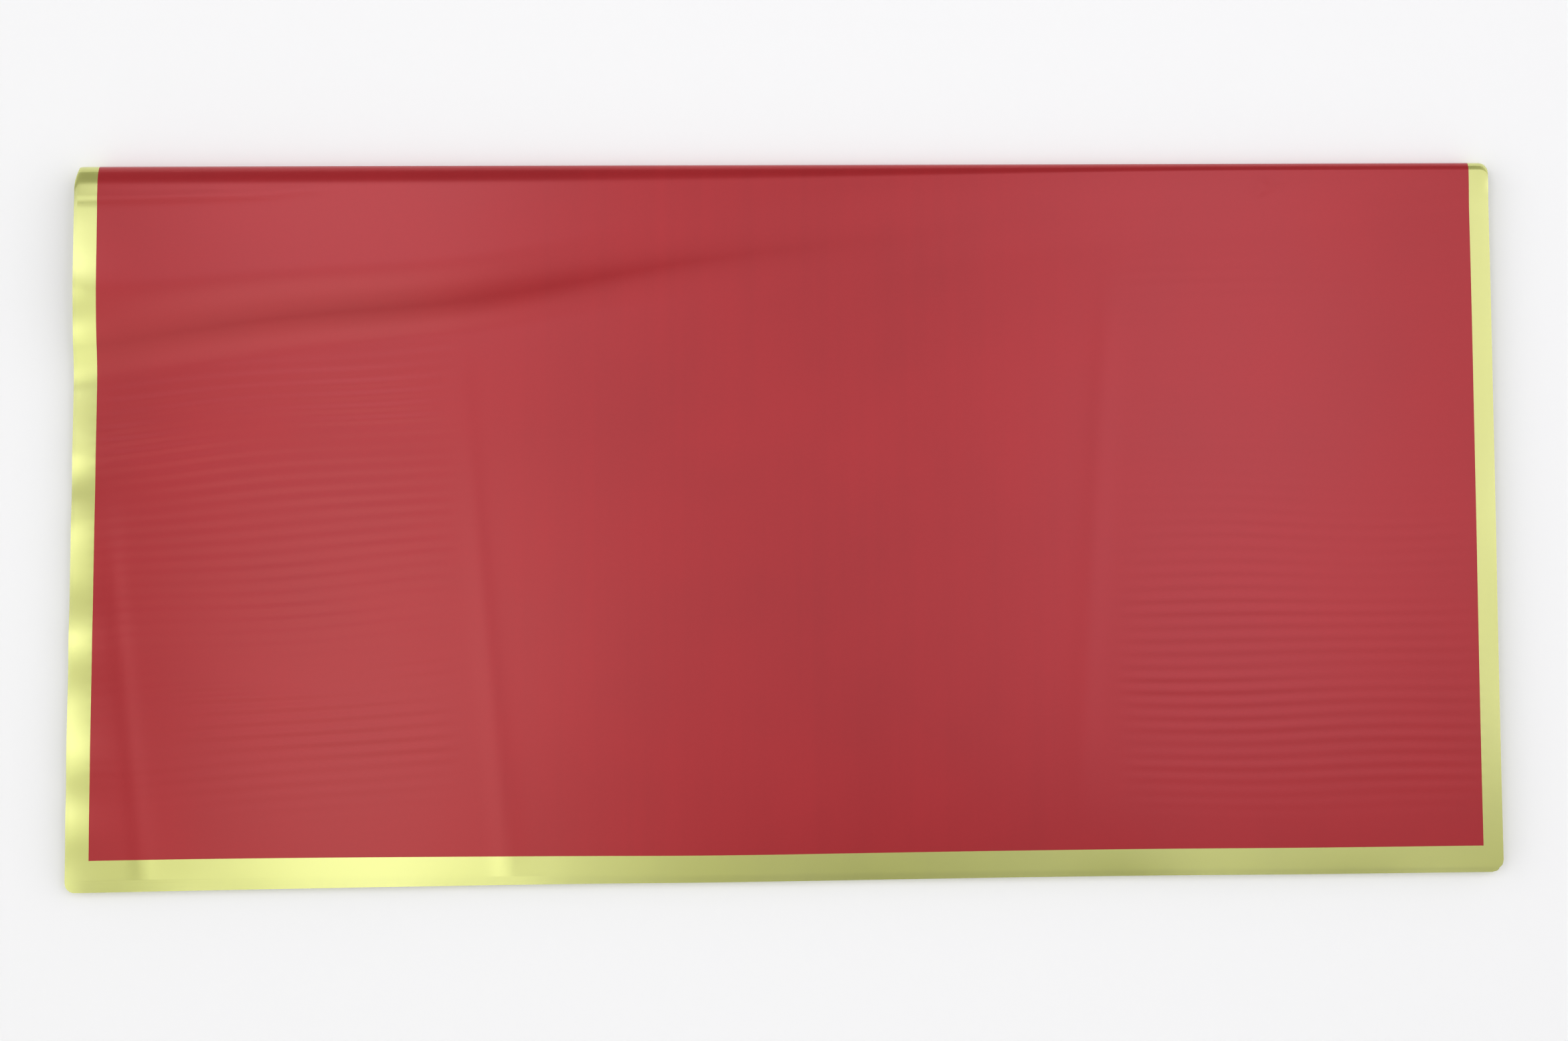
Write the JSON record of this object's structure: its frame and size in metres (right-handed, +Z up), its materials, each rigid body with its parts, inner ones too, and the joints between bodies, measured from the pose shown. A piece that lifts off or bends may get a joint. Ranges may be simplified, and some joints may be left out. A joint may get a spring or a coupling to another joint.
{
  "type": "folded pack of wrapping film sheets",
  "caption": "Pack of square red wrapping film sheets with a printed gold border, nested and folded in half; the upper leaves turn over on the fold to open the pack flat.",
  "frame": {"origin": "middle of the underside of the closed pack, on the surface it lies on", "axes": "+X along the fold, +Y from the free edges to the fold, +Z up"},
  "size_m": [0.582, 0.291, 0.0118],
  "materials": {
    "printed_film": "satin red film with a printed metallic gold border"
  },
  "bodies": {
    "lower_pack": {"sheet_01_lower_leaf": "printed_film", "sheet_02_lower_leaf": "printed_film", "sheet_03_lower_leaf": "printed_film", "sheet_04_lower_leaf": "printed_film", "sheet_05_lower_leaf": "printed_film", "sheet_06_lower_leaf": "printed_film", "sheet_07_lower_leaf": "printed_film", "sheet_08_lower_leaf": "printed_film", "sheet_09_lower_leaf": "printed_film", "sheet_10_lower_leaf": "printed_film", "sheet_11_lower_leaf": "printed_film", "sheet_12_lower_leaf": "printed_film", "sheet_13_lower_leaf": "printed_film", "sheet_14_lower_leaf": "printed_film", "sheet_15_lower_leaf": "printed_film", "sheet_16_lower_leaf": "printed_film", "sheet_17_lower_leaf": "printed_film", "sheet_18_lower_leaf": "printed_film", "sheet_19_lower_leaf": "printed_film", "sheet_20_lower_leaf": "printed_film", "sheet_01_fold": "printed_film", "sheet_02_fold": "printed_film", "sheet_03_fold": "printed_film", "sheet_04_fold": "printed_film", "sheet_05_fold": "printed_film", "sheet_06_fold": "printed_film", "sheet_07_fold": "printed_film", "sheet_08_fold": "printed_film", "sheet_09_fold": "printed_film", "sheet_10_fold": "printed_film", "sheet_11_fold": "printed_film", "sheet_12_fold": "printed_film", "sheet_13_fold": "printed_film", "sheet_14_fold": "printed_film", "sheet_15_fold": "printed_film", "sheet_16_fold": "printed_film", "sheet_17_fold": "printed_film", "sheet_18_fold": "printed_film", "sheet_19_fold": "printed_film", "sheet_20_fold": "printed_film"},
    "upper_leaf_01": {"sheet_01_upper_leaf": "printed_film"},
    "upper_leaf_02": {"sheet_02_upper_leaf": "printed_film"},
    "upper_leaf_03": {"sheet_03_upper_leaf": "printed_film"},
    "upper_leaf_04": {"sheet_04_upper_leaf": "printed_film"},
    "upper_leaf_05": {"sheet_05_upper_leaf": "printed_film"},
    "upper_leaf_06": {"sheet_06_upper_leaf": "printed_film"},
    "upper_leaf_07": {"sheet_07_upper_leaf": "printed_film"},
    "upper_leaf_08": {"sheet_08_upper_leaf": "printed_film"},
    "upper_leaf_09": {"sheet_09_upper_leaf": "printed_film"},
    "upper_leaf_10": {"sheet_10_upper_leaf": "printed_film"},
    "upper_leaf_11": {"sheet_11_upper_leaf": "printed_film"},
    "upper_leaf_12": {"sheet_12_upper_leaf": "printed_film"},
    "upper_leaf_13": {"sheet_13_upper_leaf": "printed_film"},
    "upper_leaf_14": {"sheet_14_upper_leaf": "printed_film"},
    "upper_leaf_15": {"sheet_15_upper_leaf": "printed_film"},
    "upper_leaf_16": {"sheet_16_upper_leaf": "printed_film"},
    "upper_leaf_17": {"sheet_17_upper_leaf": "printed_film"},
    "upper_leaf_18": {"sheet_18_upper_leaf": "printed_film"},
    "upper_leaf_19": {"sheet_19_upper_leaf": "printed_film"},
    "upper_leaf_20": {"sheet_20_upper_leaf": "printed_film"}
  },
  "joints": [
    {"name": "sheet_01_turn", "type": "hinge", "parent": "lower_pack", "child": "upper_leaf_01", "pos_m": [0, 0.14501, 0.00318], "axis": [-1, 0, 0], "range_deg": [0, 179.9], "deforming": ["sheet_01_fold"]},
    {"name": "sheet_02_turn", "type": "hinge", "parent": "lower_pack", "child": "upper_leaf_02", "pos_m": [0, 0.14501, 0.00318], "axis": [-1, 0, 0], "range_deg": [0, 179.9], "deforming": ["sheet_02_fold"]},
    {"name": "sheet_03_turn", "type": "hinge", "parent": "lower_pack", "child": "upper_leaf_03", "pos_m": [0, 0.14501, 0.00318], "axis": [-1, 0, 0], "range_deg": [0, 179.9], "deforming": ["sheet_03_fold"]},
    {"name": "sheet_04_turn", "type": "hinge", "parent": "lower_pack", "child": "upper_leaf_04", "pos_m": [0, 0.14501, 0.00318], "axis": [-1, 0, 0], "range_deg": [0, 179.9], "deforming": ["sheet_04_fold"]},
    {"name": "sheet_05_turn", "type": "hinge", "parent": "lower_pack", "child": "upper_leaf_05", "pos_m": [0, 0.14501, 0.00318], "axis": [-1, 0, 0], "range_deg": [0, 179.9], "deforming": ["sheet_05_fold"]},
    {"name": "sheet_06_turn", "type": "hinge", "parent": "lower_pack", "child": "upper_leaf_06", "pos_m": [0, 0.14501, 0.00318], "axis": [-1, 0, 0], "range_deg": [0, 179.9], "deforming": ["sheet_06_fold"]},
    {"name": "sheet_07_turn", "type": "hinge", "parent": "lower_pack", "child": "upper_leaf_07", "pos_m": [0, 0.14501, 0.00318], "axis": [-1, 0, 0], "range_deg": [0, 179.9], "deforming": ["sheet_07_fold"]},
    {"name": "sheet_08_turn", "type": "hinge", "parent": "lower_pack", "child": "upper_leaf_08", "pos_m": [0, 0.14501, 0.00318], "axis": [-1, 0, 0], "range_deg": [0, 179.9], "deforming": ["sheet_08_fold"]},
    {"name": "sheet_09_turn", "type": "hinge", "parent": "lower_pack", "child": "upper_leaf_09", "pos_m": [0, 0.14501, 0.00318], "axis": [-1, 0, 0], "range_deg": [0, 179.9], "deforming": ["sheet_09_fold"]},
    {"name": "sheet_10_turn", "type": "hinge", "parent": "lower_pack", "child": "upper_leaf_10", "pos_m": [0, 0.14501, 0.00318], "axis": [-1, 0, 0], "range_deg": [0, 179.9], "deforming": ["sheet_10_fold"]},
    {"name": "sheet_11_turn", "type": "hinge", "parent": "lower_pack", "child": "upper_leaf_11", "pos_m": [0, 0.14501, 0.00318], "axis": [-1, 0, 0], "range_deg": [0, 179.9], "deforming": ["sheet_11_fold"]},
    {"name": "sheet_12_turn", "type": "hinge", "parent": "lower_pack", "child": "upper_leaf_12", "pos_m": [0, 0.14501, 0.00318], "axis": [-1, 0, 0], "range_deg": [0, 179.9], "deforming": ["sheet_12_fold"]},
    {"name": "sheet_13_turn", "type": "hinge", "parent": "lower_pack", "child": "upper_leaf_13", "pos_m": [0, 0.14501, 0.00318], "axis": [-1, 0, 0], "range_deg": [0, 179.9], "deforming": ["sheet_13_fold"]},
    {"name": "sheet_14_turn", "type": "hinge", "parent": "lower_pack", "child": "upper_leaf_14", "pos_m": [0, 0.14501, 0.00318], "axis": [-1, 0, 0], "range_deg": [0, 179.9], "deforming": ["sheet_14_fold"]},
    {"name": "sheet_15_turn", "type": "hinge", "parent": "lower_pack", "child": "upper_leaf_15", "pos_m": [0, 0.14501, 0.00318], "axis": [-1, 0, 0], "range_deg": [0, 179.9], "deforming": ["sheet_15_fold"]},
    {"name": "sheet_16_turn", "type": "hinge", "parent": "lower_pack", "child": "upper_leaf_16", "pos_m": [0, 0.14501, 0.00318], "axis": [-1, 0, 0], "range_deg": [0, 179.9], "deforming": ["sheet_16_fold"]},
    {"name": "sheet_17_turn", "type": "hinge", "parent": "lower_pack", "child": "upper_leaf_17", "pos_m": [0, 0.14501, 0.00318], "axis": [-1, 0, 0], "range_deg": [0, 179.9], "deforming": ["sheet_17_fold"]},
    {"name": "sheet_18_turn", "type": "hinge", "parent": "lower_pack", "child": "upper_leaf_18", "pos_m": [0, 0.14501, 0.00318], "axis": [-1, 0, 0], "range_deg": [0, 179.9], "deforming": ["sheet_18_fold"]},
    {"name": "sheet_19_turn", "type": "hinge", "parent": "lower_pack", "child": "upper_leaf_19", "pos_m": [0, 0.14501, 0.00318], "axis": [-1, 0, 0], "range_deg": [0, 179.9], "deforming": ["sheet_19_fold"]},
    {"name": "sheet_20_turn", "type": "hinge", "parent": "lower_pack", "child": "upper_leaf_20", "pos_m": [0, 0.14501, 0.00318], "axis": [-1, 0, 0], "range_deg": [0, 179.9], "deforming": ["sheet_20_fold"]}
  ],
  "couplings": [
    {"joint": "sheet_02_turn", "follows": "sheet_01_turn", "ratio": 1},
    {"joint": "sheet_03_turn", "follows": "sheet_01_turn", "ratio": 1},
    {"joint": "sheet_04_turn", "follows": "sheet_01_turn", "ratio": 1},
    {"joint": "sheet_05_turn", "follows": "sheet_01_turn", "ratio": 1},
    {"joint": "sheet_06_turn", "follows": "sheet_01_turn", "ratio": 1},
    {"joint": "sheet_07_turn", "follows": "sheet_01_turn", "ratio": 1},
    {"joint": "sheet_08_turn", "follows": "sheet_01_turn", "ratio": 1},
    {"joint": "sheet_09_turn", "follows": "sheet_01_turn", "ratio": 1},
    {"joint": "sheet_10_turn", "follows": "sheet_01_turn", "ratio": 1},
    {"joint": "sheet_11_turn", "follows": "sheet_01_turn", "ratio": 1},
    {"joint": "sheet_12_turn", "follows": "sheet_01_turn", "ratio": 1},
    {"joint": "sheet_13_turn", "follows": "sheet_01_turn", "ratio": 1},
    {"joint": "sheet_14_turn", "follows": "sheet_01_turn", "ratio": 1},
    {"joint": "sheet_15_turn", "follows": "sheet_01_turn", "ratio": 1},
    {"joint": "sheet_16_turn", "follows": "sheet_01_turn", "ratio": 1},
    {"joint": "sheet_17_turn", "follows": "sheet_01_turn", "ratio": 1},
    {"joint": "sheet_18_turn", "follows": "sheet_01_turn", "ratio": 1},
    {"joint": "sheet_19_turn", "follows": "sheet_01_turn", "ratio": 1},
    {"joint": "sheet_20_turn", "follows": "sheet_01_turn", "ratio": 1}
  ]
}
